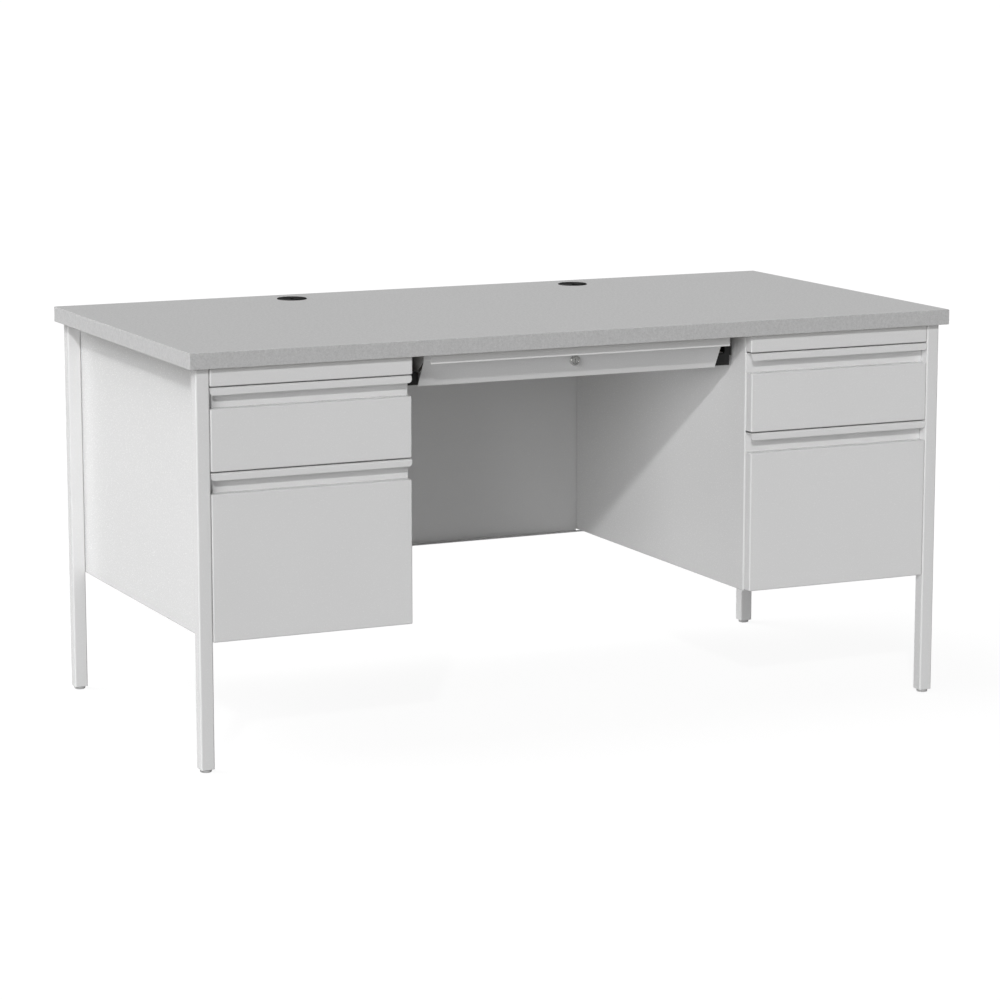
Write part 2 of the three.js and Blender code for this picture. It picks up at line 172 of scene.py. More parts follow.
def shade(tree, shader):
    tree.links.new(shader.outputs[0], add_node(tree, "ShaderNodeOutputMaterial").inputs["Surface"])


def grain(tree, where, size, detail=2.0, rough=0.5, distortion=0.0):
    """Noise whose lumps are about size metres across."""
    return add_node(tree, "ShaderNodeTexNoise", {
        "Vector": where, "Scale": 1 / size, "Detail": detail, "Roughness": rough, "Distortion": distortion,
    }).outputs["Fac"]


def spread(tree, value, low, high):
    """Stretches the middle of a noise to run from low to high."""
    return add_node(tree, "ShaderNodeMapRange", {
        "Value": value, "From Min": 0.3, "From Max": 0.7, "To Min": low, "To Max": high,
    }).outputs["Result"]


def bump(tree, height, rise):
    return add_node(tree, "ShaderNodeBump", {
        "Height": height, "Strength": 1.0, "Distance": rise,
    }).outputs["Normal"]


def tint(tree, factor, a, b):
    mix = add_node(tree, "ShaderNodeMix", data_type="RGBA")
    tree.links.new(factor, mix.inputs["Factor"])
    mix.inputs["A"].default_value = colour(a)
    mix.inputs["B"].default_value = colour(b)
    return mix.outputs["Result"]


def darker(rgb, share):
    return [c * share for c in rgb]


def powder_coat(rgb):
    """Polyester powder baked on steel: satin, with the shallow orange peel that the melt leaves."""
    material, tree, where = surface("powder_coated_steel")
    cloud = grain(tree, where, 180 * MM)
    peel = grain(tree, where, 2.2 * MM)
    shade(tree, add_node(tree, "ShaderNodeBsdfPrincipled", {
        "Base Color": tint(tree, spread(tree, cloud, 0, 1), darker(rgb, 0.988), rgb),
        "Roughness": spread(tree, peel, 0.24, 0.28),
        "Normal": bump(tree, peel, 0.005 * MM),
        "IOR": 1.5,
    }))
    return material


def laminate(rgb, fleck_rgb, size):
    """High pressure laminate pressed against a matt plate: faint flecks and a dry, even sheen."""
    material, tree, where = surface("high_pressure_laminate")
    blotch = grain(tree, where, size, detail=3, rough=0.7)
    fine = grain(tree, where, size / 3, detail=2)
    fine_share = add_node(tree, "ShaderNodeMath", {0: fine, 1: 0.4}, operation="MULTIPLY").outputs[0]
    pattern = add_node(tree, "ShaderNodeMath", {0: blotch, 1: 0.6, 2: fine_share}, operation="MULTIPLY_ADD")
    texture = grain(tree, where, 0.8 * MM)
    shade(tree, add_node(tree, "ShaderNodeBsdfPrincipled", {
        "Base Color": tint(tree, spread(tree, pattern.outputs[0], 0, 1), rgb, fleck_rgb),
        "Roughness": spread(tree, texture, 0.46, 0.56),
        "Specular IOR Level": 0.4,
        "Normal": bump(tree, texture, 0.01 * MM),
        "IOR": 1.5,
    }))
    return material


def backer_sheet(rgb):
    """Phenolic backer sheet: sanded brown paper and resin, dull and slightly streaked."""
    material, tree, where = surface("phenolic_backer_sheet")
    along = add_node(tree, "ShaderNodeMapping", {"Vector": where, "Scale": (1, 12, 1)}).outputs["Vector"]
    streak = grain(tree, along, 60 * MM, detail=4)
    shade(tree, add_node(tree, "ShaderNodeBsdfPrincipled", {
        "Base Color": tint(tree, spread(tree, streak, 0, 1), darker(rgb, 0.85), rgb),
        "Roughness": spread(tree, streak, 0.6, 0.75),
        "IOR": 1.5,
    }))
    return material


def particle_board():
    """Cut particle board: pressed wood chips of mixed browns."""
    material, tree, where = surface("particle_board")
    chip = grain(tree, where, 2.5 * MM, detail=4)
    shade(tree, add_node(tree, "ShaderNodeBsdfPrincipled", {
        "Base Color": tint(tree, spread(tree, chip, 0, 1), linear("#8A6A45"), linear("#C9A676")),
        "Roughness": 0.85,
        "Normal": bump(tree, chip, 0.2 * MM),
    }))
    return material


def moulded(name, rgb, roughness, ior):
    """Injection moulded plastic with the fine spark eroded texture of its tool."""
    material, tree, where = surface(name)
    spark = grain(tree, where, 0.7 * MM)
    cloud = grain(tree, where, 25 * MM)
    shade(tree, add_node(tree, "ShaderNodeBsdfPrincipled", {
        "Base Color": tint(tree, spread(tree, cloud, 0, 1), darker(rgb, 0.92), rgb),
        "Roughness": spread(tree, spark, roughness - 0.05, roughness + 0.05),
        "Normal": bump(tree, spark, 0.02 * MM),
        "IOR": ior,
    }))
    return material


def plated(name, rgb, roughness, wave):
    """Plated steel: bright metal whose gloss wanders a little with the plating and with handling."""
    material, tree, where = surface(name)
    cloud = grain(tree, where, wave, detail=3)
    along = add_node(tree, "ShaderNodeMapping", {"Vector": where, "Scale": (1, 0.06, 1)}).outputs["Vector"]
    scratch = grain(tree, along, 0.6 * MM)
    shade(tree, add_node(tree, "ShaderNodeBsdfPrincipled", {
        "Base Color": tint(tree, spread(tree, cloud, 0, 1), darker(rgb, 0.9), rgb),
        "Metallic": 1.0,
        "Roughness": spread(tree, cloud, roughness * 0.8, roughness * 1.25),
        "Normal": bump(tree, scratch, 0.004 * MM),
    }))
    return material


def make_materials():
    colours = bpy.context.scene.desk_colours
    top = bpy.context.scene.desk_top
    return {
        "painted_steel": powder_coat(colours.paint),
        "laminate": laminate(colours.laminate, colours.fleck, top.fleck),
        "backer": backer_sheet(colours.backer),
        "board": particle_board(),
        "black_nylon": moulded("moulded_black_nylon", colours.nylon, 0.42, 1.53),
        "glide_plastic": moulded("moulded_grey_polypropylene", colours.glide, 0.5, 1.49),
        "zinc_plate": plated("bright_zinc_plate", colours.zinc, 0.34, 12 * MM),
        "nickel_plate": plated("polished_nickel_plate", colours.nickel, 0.14, 8 * MM),
        "bearing_steel": plated("polished_bearing_steel", colours.steel, 0.12, 3 * MM),
    }


MATERIALS = {}


def material(name):
    if not MATERIALS:
        MATERIALS.update(make_materials())
    return MATERIALS[name]


# ---------------------------------------------------------------- mesh tools

def between(low, high):
    """The matrix that fits a cube of side 1 to the box from low to high."""
    size = high - low
    return Matrix.Translation((low + high) / 2) @ Matrix.Diagonal((*size, 1))


def box_mesh(low, high):
    bm = bmesh.new()
    bmesh.ops.create_cube(bm, size=1, matrix=between(Vector(low), Vector(high)))
    return bm


def faces_towards(bm, direction):
    return [f for f in bm.faces if f.normal.dot(direction) > 0.99]


def bends(bm):
    """The edges where two faces meet at more than half a radian."""
    return [e for e in bm.edges if len(e.link_faces) == 2 and e.calc_face_angle() > 0.5]


def round_edges(bm, edges, radius, segments=5):
    bmesh.ops.bevel(bm, geom=edges, offset=radius, offset_type="OFFSET", segments=segments, profile=0.5,
                    affect="EDGES", material=-1, clamp_overlap=True)


def face_out(bm, direction):
    """Makes the faces agree, with the widest face across direction turned to it."""
    bmesh.ops.recalc_face_normals(bm, faces=bm.faces)
    widest = max(bm.faces, key=lambda f: f.calc_area() * abs(f.normal.dot(direction)))
    if widest.normal.dot(direction) < 0:
        bmesh.ops.reverse_faces(bm, faces=bm.faces)


def draw_out(bm, edges, offset):
    """Extrudes edges by offset and gives the new far edges."""
    made = bmesh.ops.extrude_edge_only(bm, edges=edges)["geom"]
    bmesh.ops.translate(bm, verts=[g for g in made if isinstance(g, bmesh.types.BMVert)], vec=offset)
    return [g for g in made if isinstance(g, bmesh.types.BMEdge)
            and all(v in made for v in g.verts)]


def pan(low, high, open_towards, radius):
    """A box of sheet with rounded folds, left open in some directions. The box is its outside."""
    bm = box_mesh(low, high)
    drop = [f for direction in open_towards for f in faces_towards(bm, direction)]
    bmesh.ops.delete(bm, geom=drop, context="FACES")
    round_edges(bm, bends(bm), radius)
    return bm


def folded(points, offset, radius, facing):
    """A strip of sheet: a chain of edges through the points, drawn out by offset and folded round."""
    bm = bmesh.new()
    verts = [bm.verts.new(p) for p in points]
    draw_out(bm, [bm.edges.new(pair) for pair in zip(verts, verts[1:])], offset)
    round_edges(bm, bends(bm), radius)
    face_out(bm, facing)
    return bm


def turned(profile, centre, axis=Z, steps=48):
    """A lathe shape. The profile holds (radius, height) points, with height along axis from centre."""
    across = axis.orthogonal().normalized()
    bm = bmesh.new()
    verts = [bm.verts.new(centre + across * r + axis * h) for r, h in profile]
    edges = [bm.edges.new(pair) for pair in zip(verts, verts[1:])]
    bmesh.ops.spin(bm, geom=verts + edges, cent=centre, axis=axis, angle=2 * math.pi, steps=steps,
                   use_merge=True)
    bmesh.ops.remove_doubles(bm, verts=bm.verts, dist=1e-6)
    bmesh.ops.recalc_face_normals(bm, faces=bm.faces)
    return bm


def cad_copy(node, edge, segments=2):
    """A welded copy of a frame node, with its sharp edges rounded."""
    bm = bmesh.new()
    bm.from_mesh(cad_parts[node].data)
    bmesh.ops.remove_doubles(bm, verts=bm.verts, dist=1e-6)
    bmesh.ops.dissolve_limit(bm, angle_limit=math.radians(1), verts=bm.verts, edges=bm.edges)
    bmesh.ops.delete(bm, geom=[e for e in bm.edges if e.is_wire], context="EDGES")
    if edge:
        round_edges(bm, bends(bm), edge, segments)
    return bm


def merge_in(bm, other):
    """Adds another mesh to bm as a loose part."""
    mesh = bpy.data.meshes.new("part")
    other.to_mesh(mesh)
    other.free()
    bm.from_mesh(mesh)
    bpy.data.meshes.remove(mesh)
    return bm


def put_copies(template, places):
    """One mesh with a copy of template at each matrix in places."""
    mesh = bpy.data.meshes.new("part")
    template.to_mesh(mesh)
    template.free()
    bm = bmesh.new()
    for place in places:
        start = len(bm.verts)
        bm.from_mesh(mesh)
        bm.verts.ensure_lookup_table()
        bmesh.ops.transform(bm, matrix=place, verts=bm.verts[start:])
    bpy.data.meshes.remove(mesh)
    return bm


SHARP = math.radians(50)  # an edge this sharp is a cut edge, not a bend


def piece(name, bm, body, slot, nodes=(), finish=None, sheet=0.0, edge=0.0, offset=-1.0):
    """Makes bm an object that rides on body, stands for nodes and is finished in slot's material."""
    if not bm.faces:
        raise RuntimeError(f"{name} has no faces")
    mesh = bpy.data.meshes.new(name)
    bm.to_mesh(mesh)
    bm.free()
    mesh.shade_smooth()
    mesh.materials.append(material(finish or slot))
    obj = bpy.data.objects.new(name, mesh)
    bpy.context.scene.collection.objects.link(obj)
    if sheet:
        obj.modifiers.new("Sheet", "SOLIDIFY").thickness = sheet
        obj.modifiers["Sheet"].offset = offset
        obj.modifiers["Sheet"].use_even_offset = True
    if edge:
        rounding = obj.modifiers.new("Edges", "BEVEL")
        rounding.width = edge
        rounding.segments = 2
        rounding.limit_method = "ANGLE"
        rounding.angle_limit = SHARP
    obj.modifiers.new("Shading", "WEIGHTED_NORMAL").keep_sharp = True
    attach(obj, body)
    if nodes:
        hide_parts(*nodes)
    return obj


def steel(name, bm, body, nodes=(), sheet=True):
    """A piece of powder coated sheet steel."""
    metal = bpy.context.scene.desk_sheet_metal
    return piece(name, bm, body, "painted_steel", nodes, sheet=metal.thickness if sheet else 0,
                 edge=metal.cut_edge if sheet else 0)


def pan_head_screw(radius, height):
    """A pan head screw's head, standing on the plane Z 0 towards +Z, with a cross recess."""
    bm = bmesh.new()
    collar, sides = 0.4 * height, 16
    stand = Matrix.Translation((0, 0, collar / 2)) @ Matrix.Rotation(math.pi / sides, 4, "Z")
    bmesh.ops.create_cone(bm, cap_ends=True, segments=sides, radius1=radius, radius2=radius, depth=collar,
                          matrix=stand)
    crown = faces_towards(bm, Z)
    for inward, rise in ((0.16, 0.35), (0.26, 0.2), (0.1, 0.05)):
        bmesh.ops.inset_individual(bm, faces=crown, thickness=inward * radius, depth=rise * height)
    bmesh.ops.inset_individual(bm, faces=crown, thickness=0.02 * radius)
    for vert in crown[0].verts:
        if abs(math.sin(2 * math.atan2(vert.co.y, vert.co.x))) > 0.6:
            vert.co.xy *= 0.4
    bmesh.ops.inset_individual(bm, faces=crown, thickness=0.03 * radius, depth=-0.5 * height)
    return bm


def screws(name, places, outward, body, radius=3.4 * MM, height=2.2 * MM):
    """Zinc plated screw heads at a list of places on a face that looks outward."""
    turn = outward.to_track_quat("Z", "Y").to_matrix().to_4x4()
    heads = put_copies(pan_head_screw(radius, height), [Matrix.Translation(p) @ turn for p in places])
    return piece(name, heads, body, "zinc_plate")


def spaced(start, end, count):
    return [start + (end - start) * i / (count - 1) for i in range(count)]


class BuildOperator:
    """What every piece's operator shares."""
    bl_options = {"REGISTER", "UNDO"}

    def execute(self, context):
        self.build(context.scene)
        return {"FINISHED"}


# ---------------------------------------------------------------- worktop

INSIDE = 0.9  # faces within this share of the worktop's half size belong to its holes


class DESK_OT_worktop(BuildOperator, bpy.types.Operator):
    """Builds the laminated worktop"""
    bl_idname = "desk.worktop"
    bl_label = "Worktop"

    def build(self, scene):
        low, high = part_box("worktop")
        bm = cad_copy("worktop", 0)
        outer = [e for e in bends(bm) if all(
            near(v.co.x, low.x) or near(v.co.x, high.x) or near(v.co.y, low.y) or near(v.co.y, high.y)
            for v in e.verts)]
        round_edges(bm, outer, scene.desk_top.edge, 3)
        for face in bm.faces:
            centre = face.calc_center_median()
            if face.normal.z < -0.9:
                face.material_index = 1
            elif max(abs(centre.x) / high.x, abs(centre.y) / high.y) < INSIDE and abs(face.normal.z) < 0.1:
                face.material_index = 2
        top = piece("worktop_board", bm, "desk_frame", "laminate", ["worktop"])
        top.data.materials.append(material("backer"))
        top.data.materials.append(material("board"))


RING_OVERHANG = 4.3 * MM  # from the sleeve out to the flange's rim
RING_WALL = 2.2 * MM
RING_CROWN = 1.6 * MM  # how far the flange's round top reaches in
RING_FOOT = 0.5 * MM  # height of the flange's upright rim
SEAT_WALL = 1 * MM
SEAT_DEPTH = 2 * MM
NOTCH_HALF = 8 * MM  # half the width of the cap's cord notch
NOTCH_PIVOT = 12 * MM  # from the cap's centre to the centre of the notch's round end


class DESK_OT_grommets(BuildOperator, bpy.types.Operator):
    """Builds the grommet rings and their turning caps"""
    bl_idname = "desk.grommets"
    bl_label = "Cable grommets"

    def build(self, scene):
        for side, _ in SIDES:
            self.ring(side)
            self.cap(side)

    def ring(self, side):
        low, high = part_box(f"grommet_ring_{side}")
        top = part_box("worktop")[1].z
        centre = (low + high) / 2
        centre.z = top
        flange, rise, base = (high.x - low.x) / 2, high.z - top, low.z - top
        sleeve = flange - RING_OVERHANG
        bore = sleeve - RING_WALL
        seat = sleeve - SEAT_WALL
        chamfer, ease, gap = 0.5 * MM, 0.4 * MM, 0.3 * MM
        profile = [(bore, base), (sleeve - chamfer, base), (sleeve, base + chamfer), (sleeve, gap)]
        profile += [(flange - 0.2 * MM, gap), (flange, RING_FOOT)]
        profile += [(flange - RING_CROWN * (1 - math.cos(a)), RING_FOOT + (rise - RING_FOOT) * math.sin(a))
                    for a in (0.4, 0.8, 1.2, math.pi / 2)]
        profile += [(seat + ease, rise), (seat, rise - ease), (seat, -SEAT_DEPTH), (bore + gap, -SEAT_DEPTH),
                    (bore, -SEAT_DEPTH - gap), (bore, base)]
        piece(f"grommet_ring_{side}_moulding", turned(profile, centre, steps=64), "desk_frame",
              "black_nylon", [f"grommet_ring_{side}"])

    def cap(self, side):
        low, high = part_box(f"grommet_cap_{side}")
        radius = (high.x - low.x) / 2
        centre = Vector(((low.x + high.x) / 2, high.y - radius, low.z))
        pivot = centre - Y * NOTCH_PIVOT
        reach = math.sqrt(radius ** 2 - NOTCH_HALF ** 2)
        bm = bmesh.new()
        corner = bm.verts.new(centre + Vector((NOTCH_HALF, -reach, 0)))
        sweep = 2 * math.pi - 2 * math.asin(NOTCH_HALF / radius)
        bmesh.ops.spin(bm, geom=[corner], cent=centre, axis=Z, angle=sweep, steps=56)
        inner = bm.verts.new(pivot + X * NOTCH_HALF)
        bmesh.ops.spin(bm, geom=[inner], cent=pivot, axis=Z, angle=math.pi, steps=16)
        far_inner = min(bm.verts, key=lambda v: (v.co - (pivot - X * NOTCH_HALF)).length)
        far_end = centre + Vector((-NOTCH_HALF, -reach, 0))
        far_corner = min(bm.verts, key=lambda v: (v.co - far_end).length)
        bm.edges.new((corner, inner))
        bm.edges.new((far_inner, far_corner))
        bmesh.ops.contextual_create(bm, geom=bm.edges[:])
        top = bmesh.ops.extrude_face_region(bm, geom=bm.faces[:])["geom"]
        bmesh.ops.translate(bm, verts=[g for g in top if isinstance(g, bmesh.types.BMVert)],
                            vec=Z * (high.z - low.z))
        bmesh.ops.recalc_face_normals(bm, faces=bm.faces)
        rim = [e for e in bends(bm) if all(near(v.co.z, high.z) for v in e.verts)]
        round_edges(bm, rim, 0.6 * MM, 3)
        piece(f"grommet_cap_{side}_moulding", bm, f"{side}_grommet_cap", "black_nylon",
              [f"grommet_cap_{side}"])


# ---------------------------------------------------------------- legs

GLIDE_RIM = 2.2 * MM  # how far the glide's rounded foot reaches in and up
PLUG_PLAY = 0.15 * MM  # between the glide's plug and the leg's wall


class DESK_OT_legs(BuildOperator, bpy.types.Operator):
    """Builds the square tube legs and their foot glides"""
    bl_idname = "desk.legs"
    bl_label = "Legs and glides"

    def build(self, scene):
        metal = scene.desk_sheet_metal
        for end in ("front", "back"):
            for side, _ in SIDES:
                low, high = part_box(f"leg_{end}_{side}")
                tube = pan(low, high, (Z, -Z), metal.leg_corner)
                piece(f"leg_{end}_{side}_tube", tube, "desk_frame", "painted_steel", [f"leg_{end}_{side}"],
                      sheet=metal.leg_wall, edge=0.35 * MM)
                self.glide(end, side, low, high, metal)

    def glide(self, end, side, leg_low, leg_high, metal):
        low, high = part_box(f"foot_glide_{end}_{side}")
        centre = Vector(((low.x + high.x) / 2, (low.y + high.y) / 2, 0))
        radius = (high.x - low.x) / 2
        foot = leg_low.z - 0.1 * MM
        bulge, ease = 0.3 * MM, 0.4 * MM
        profile = [(0, 0), (radius - GLIDE_RIM, 0), (radius - GLIDE_RIM / 2, bulge),
                   (radius - bulge, GLIDE_RIM / 2), (radius, GLIDE_RIM), (radius, foot - ease),
                   (radius - ease, foot), (0, foot)]
        bm = turned(profile, centre)
        inner = metal.leg_wall + PLUG_PLAY
        plug = box_mesh(Vector((leg_low.x + inner, leg_low.y + inner, foot + 0.05 * MM)),
                        Vector((leg_high.x - inner, leg_high.y - inner, high.z)))
        upright = [e for e in plug.edges if abs((e.verts[0].co - e.verts[1].co).z) > 1 * MM]
        round_edges(plug, upright, 1.3 * MM, 4)
        piece(f"foot_glide_{end}_{side}_moulding", merge_in(bm, plug), "desk_frame", "glide_plastic",
              [f"foot_glide_{end}_{side}"])


# ---------------------------------------------------------------- pedestals

class DESK_OT_pedestals(BuildOperator, bpy.types.Operator):
    """Builds the panels and filler rails of the pedestals"""
    bl_idname = "desk.pedestals"
    bl_label = "Pedestals"

    def build(self, scene):
        metal = scene.desk_sheet_metal
        for side, sign in SIDES:
            for which, inward in (("outer", -sign), ("inner", sign)):
                node = f"{side}_{which}_side_panel"
                steel(f"{node}_sheet", self.side_panel(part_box(node), inward * X, metal), "desk_frame", [node])
            node = f"{side}_filler_rail"
            steel(f"{node}_channel", pan(*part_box(node), (Y,), metal.bend), "desk_frame", [node])
            node = f"{side}_back_panel"
            steel(f"{node}_sheet", cad_copy(node, metal.cut_edge), "desk_frame", [node], sheet=False)
            self.back_screws(side)

    def side_panel(self, box, inward, metal):
        """A web with wide returns along its top, bottom and back and a narrow one down its front."""
        low, high = box
        bm = pan(low, high, (inward,), metal.bend)
        web = low.x if inward.x > 0 else high.x
        narrow = Vector((web + inward.x * (metal.bend + 0.3 * MM), 0, 0))
        bmesh.ops.bisect_plane(bm, geom=bm.verts[:] + bm.edges[:] + bm.faces[:], plane_co=narrow,
                               plane_no=inward)
        beyond = [f for f in bm.faces if f.calc_center_median().y < low.y + metal.bend
                  and (f.calc_center_median() - narrow).dot(inward) > 0]
        bmesh.ops.delete(bm, geom=beyond, context="FACES")
        return bm

    def back_screws(self, side):
        low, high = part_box(f"{side}_back_panel")
        inset, margin, rows = 8.5 * MM, 25 * MM, 4
        places = [Vector((x, high.y, z)) for x in (low.x + inset, high.x - inset)
                  for z in spaced(low.z + margin, high.z - margin, rows)]
        screws(f"{side}_back_panel_screws", places, Y, "desk_frame")


class DESK_OT_modesty_panel(BuildOperator, bpy.types.Operator):
    """Builds the modesty panel across the knee space"""
    bl_idname = "desk.modesty_panel"
    bl_label = "Modesty panel"

    def build(self, scene):
        metal = scene.desk_sheet_metal
        low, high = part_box("modesty_panel")
        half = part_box("right_inner_side_panel")[0].x - 0.3 * MM
        line = [(low.y, low.z), (high.y, low.z), (high.y, high.z), (low.y, high.z)]
        web = folded([Vector((-half, y, z)) for y, z in line], X * 2 * half, metal.bend, Y)
        steel("modesty_panel_sheet", web, "desk_frame", ["modesty_panel"])
        steel("modesty_panel_ears", self.ears(low, high, half, metal), "desk_frame", sheet=False)

    def ears(self, low, high, half, metal):
        """The ends of the bottom flange, which run on under the pedestals."""
        bm = bmesh.new()
        overlap = 1 * MM
        for _, sign in SIDES:
            x = sorted((sign * (half - overlap), sign * high.x))
            ear = box_mesh((x[0], low.y + SKIN, low.z + SKIN),
                           (x[1], high.y - metal.bend, low.z + metal.thickness - SKIN))
            round_edges(ear, bends(ear), metal.cut_edge, 2)
            merge_in(bm, ear)
        return bm


# ---------------------------------------------------------------- pedestal drawers

class DESK_OT_drawer_fronts(BuildOperator, bpy.types.Operator):
    """Builds the drawer fronts with their finger recesses"""
    bl_idname = "desk.drawer_fronts"
    bl_label = "Drawer fronts"

    def build(self, scene):
        for side, _ in SIDES:
            for kind in ("box", "file"):
                node = f"{side}_{kind}_drawer_front"
                sheet = self.front(*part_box(node), scene.desk_sheet_metal)
                steel(f"{node}_sheet", sheet, f"{side}_{kind}_drawer", [node])

    def front(self, low, high, metal):
        """The face pan, then the recess wall, top plate and hanging lip drawn out from its back edge."""
        wall = high.y - metal.thickness
        ledge = high.z - metal.pull_height
        bm = box_mesh(low, (high.x, wall, ledge))
        bmesh.ops.delete(bm, geom=faces_towards(bm, Y), context="FACES")
        edge = [e for e in bm.edges if all(near(v.co.y, wall) and near(v.co.z, ledge) for v in e.verts)]
        under_top = high.z - metal.thickness
        edge = draw_out(bm, edge, Z * (under_top - ledge))
        edge = draw_out(bm, edge, Y * (low.y + metal.thickness - wall))
        draw_out(bm, edge, Z * (high.z - metal.lip_height - under_top))
        round_edges(bm, bends(bm), metal.bend)
        ends = [v for v in bm.verts if v.is_boundary and near(v.co.z, high.z - metal.lip_height)]
        bmesh.ops.bevel(bm, geom=ends, offset=metal.lip_corner, offset_type="OFFSET", segments=5, profile=0.5,
                        affect="VERTICES", material=-1, clamp_overlap=True)
        face_out(bm, -Y)
        return bm


class DESK_OT_drawer_boxes(BuildOperator, bpy.types.Operator):
    """Builds the drawer boxes with folded rims"""
    bl_idname = "desk.drawer_boxes"
    bl_label = "Drawer boxes"

    def build(self, scene):
        metal = scene.desk_sheet_metal
        for side, _ in SIDES:
            for kind in ("box", "file"):
                node = f"{side}_{kind}_drawer_box"
                low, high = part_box(node)
                steel(f"{node}_sheet", self.rimmed_box(low, high, metal), f"{side}_{kind}_drawer", [node])

    def rimmed_box(self, low, high, metal):
        """An open box with round corners, whose top edge is folded in and down all round."""
        bm = pan(low, high, (Z,), metal.box_corner)
        top = draw_out(bm, [e for e in bm.edges if e.is_boundary], Vector())
        size, middle = high - low, (low + high) / 2
        bmesh.ops.scale(bm, verts=list({v for e in top for v in e.verts}), space=Matrix.Translation(-middle),
                        vec=(1 - 2 * metal.rim / size.x, 1 - 2 * metal.rim / size.y, 1))
        draw_out(bm, top, Z * -metal.rim_drop)
        rim = [e for e in bends(bm) if all(near(v.co.z, high.z) for v in e.verts)]
        round_edges(bm, rim, 0.45 * metal.rim, 4)
        return bm


BALLS = 15  # in each row
RACE_START = 14 * MM  # from the slide's front end to the first ball
RACE_LENGTH = 126 * MM
CAGE_END = 5 * MM  # how far the ball cage runs on past its last ball
CAGE_HALF = 0.3 * MM


class DESK_OT_slides(BuildOperator, bpy.types.Operator):
    """Builds the telescopic slides with their balls and screws"""
    bl_idname = "desk.slides"
    bl_label = "Drawer slides"

    def build(self, scene):
        metal = scene.desk_sheet_metal
        for side, sign in SIDES:
            for edge in ("inner", "outer"):
                wall_is_high = (sign > 0) == (edge == "outer")
                self.slide(side, "box", edge, wall_is_high, {
                    "cabinet": "desk_frame", "drawer": f"{side}_box_drawer"}, metal)
                self.slide(side, "file", edge, wall_is_high, {
                    "cabinet": "desk_frame", "middle": f"{side}_file_slide_middles",
                    "drawer": f"{side}_file_drawer"}, metal)

    def slide(self, side, kind, edge, wall_is_high, bodies, metal):
        stem = f"{side}_{kind}_slide_{edge}"
        boxes = {}
        for member, body in bodies.items():
            node = f"{stem}_{member}_member"
            low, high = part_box(node)
            boxes[member] = (low, high)
            web_is_high = wall_is_high if member != "drawer" else not wall_is_high
            web, mouth = (high.x, low.x) if web_is_high else (low.x, high.x)
            line = [(mouth, low.y, low.z), (web, low.y, low.z), (web, low.y, high.z), (mouth, low.y, high.z)]
            bm = folded([Vector(p) for p in line], Y * (high.y - low.y), metal.tight_bend,
                        X if web_is_high else -X)
            piece(f"{node}_channel", bm, body, "zinc_plate", [node], sheet=metal.thickness,
                  edge=metal.cut_edge)
        members = list(bodies)
        for outer, inner in zip(members, members[1:]):
            self.balls(f"{stem}_{outer}_balls", boxes[outer], boxes[inner], bodies[outer], metal)
        self.web_screws(stem, boxes["cabinet"], wall_is_high, metal)

    def balls(self, name, outer, inner, body, metal):
        """Two rows of balls in the races between one member and the next, in the front of the slide."""
        lift_out = outer[1].z - metal.thickness
        lift_in = inner[1].z
        race = (lift_out + lift_in) / 2
        radius = (lift_out - lift_in) / 2 - 0.15 * MM
        middle = (outer[0].z + outer[1].z) / 2
        x = (max(outer[0].x, inner[0].x) + min(outer[1].x, inner[1].x)) / 2
        start = outer[0].y + RACE_START
        end = start + RACE_LENGTH
        places = [Matrix.Translation((x, y, z)) for z in (race, 2 * middle - race)
                  for y in spaced(start, end, BALLS)]
        ball = bmesh.new()
        bmesh.ops.create_uvsphere(ball, u_segments=8, v_segments=6, radius=radius)
        bm = put_copies(ball, places)
        for z in (race, 2 * middle - race):
            cage = box_mesh((x - CAGE_HALF, start - CAGE_END, z - radius * 0.55),
                            (x + CAGE_HALF, end + CAGE_END, z + radius * 0.55))
            merge_in(bm, cage)
        piece(name, bm, body, "zinc_plate", finish="bearing_steel")

    def web_screws(self, stem, box, wall_is_high, metal):
        low, high = box
        x = high.x - metal.thickness if wall_is_high else low.x + metal.thickness
        z = (low.z + high.z) / 2
        margin = 40 * MM
        places = [Vector((x, y, z)) for y in spaced(low.y + margin, high.y - margin, 4)]
        screws(f"{stem}_screws", places, -X if wall_is_high else X, "desk_frame", radius=3 * MM,
               height=1 * MM)


# ---------------------------------------------------------------- centre drawer

FRONT_WALL = 31 * MM  # from the lip's face back to the upright wall
FRONT_FOOT = 59 * MM  # from the lip's face back to the foot of the sloping face
FRONT_FLANGE = 4.7 * MM
FRONT_CREASE = 14.3 * MM  # height of the upright wall
FRONT_LIP = 17 * MM
RUNNER = 20 * MM  # how far the tray's runners stand out from its sides
TRAY_FOOT = 12 * MM
TRAY_PLAY = 1.4 * MM  # between the tray's sides and its front and back walls
HEEL_LENGTH = 35 * MM
HEEL_BOTTOM = 5.3 * MM  # above the underside of the tray
RAIL_FLANGE = 5.5 * MM
HOLD_DOWN = 1.5 * MM  # from the runner up to the rail's lip
HOLD_DOWN_REACH = 8 * MM  # how far the rail's lip reaches in over the runner
BLOCK_CORNER = 1.6 * MM


